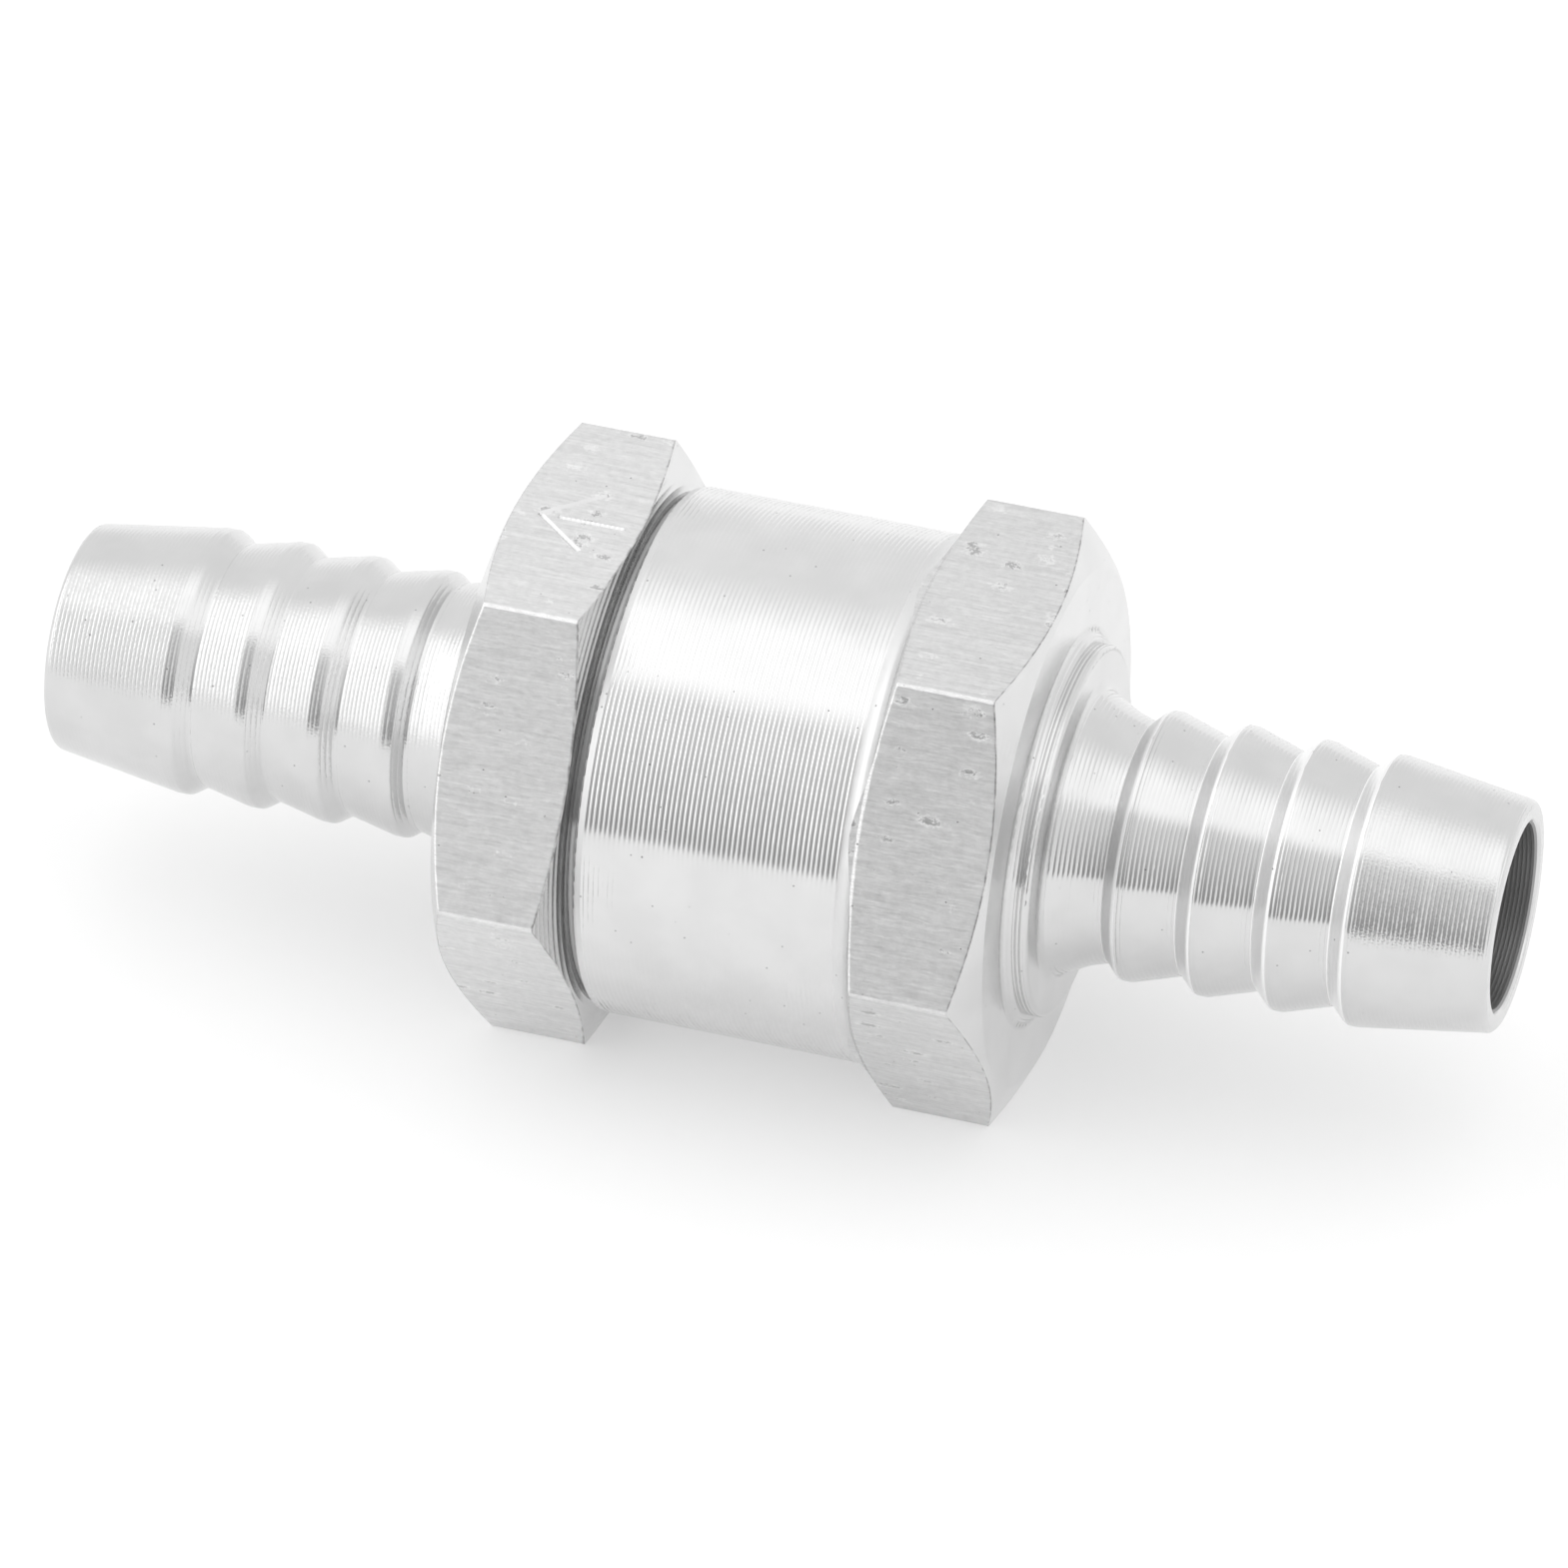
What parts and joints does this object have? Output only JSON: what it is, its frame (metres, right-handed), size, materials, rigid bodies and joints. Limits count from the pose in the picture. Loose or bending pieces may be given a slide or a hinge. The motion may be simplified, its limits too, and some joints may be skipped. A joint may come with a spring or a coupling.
{
  "type": "check valve",
  "caption": "In-line one-way check valve for a hose: turned hex body and screwed hex cap, each ending in a hose barb, with a spring-loaded poppet inside.",
  "frame": {"origin": "middle of the overall length, on the valve's axis", "axes": "+X along the axis towards the inlet barb, so flow and the marked arrow run along -X; +Z square to the hex flat that carries the arrow"},
  "size_m": [0.0696, 0.0288, 0.025],
  "materials": {
    "turned_aluminium": "bare, turned from extruded hex bar",
    "nitrile_rubber": "moulded, matt black",
    "turned_brass": "turned",
    "stainless_steel": "drawn and bright",
    "spring_steel": "phosphated, dark",
    "acetal": "moulded, natural white"
  },
  "bodies": {
    "valve_body": {"inlet_body": "turned_aluminium", "outlet_cap": "turned_aluminium", "joint_seal": "nitrile_rubber", "stem_guide": "acetal", "guide_retaining_ring": "spring_steel", "return_spring": "stainless_steel"},
    "poppet_group": {"poppet": "turned_brass", "poppet_seal": "nitrile_rubber", "seal_retainer": "turned_brass", "retainer_screw": "stainless_steel"}
  },
  "joints": [
    {"name": "poppet_lift", "type": "slide", "parent": "valve_body", "child": "poppet_group", "axis": [-1, 0, 0], "range_m": [0, 0.003], "stiffness_N_per_m": 150, "springref_m": -0.0018, "deforming": ["return_spring"]}
  ]
}
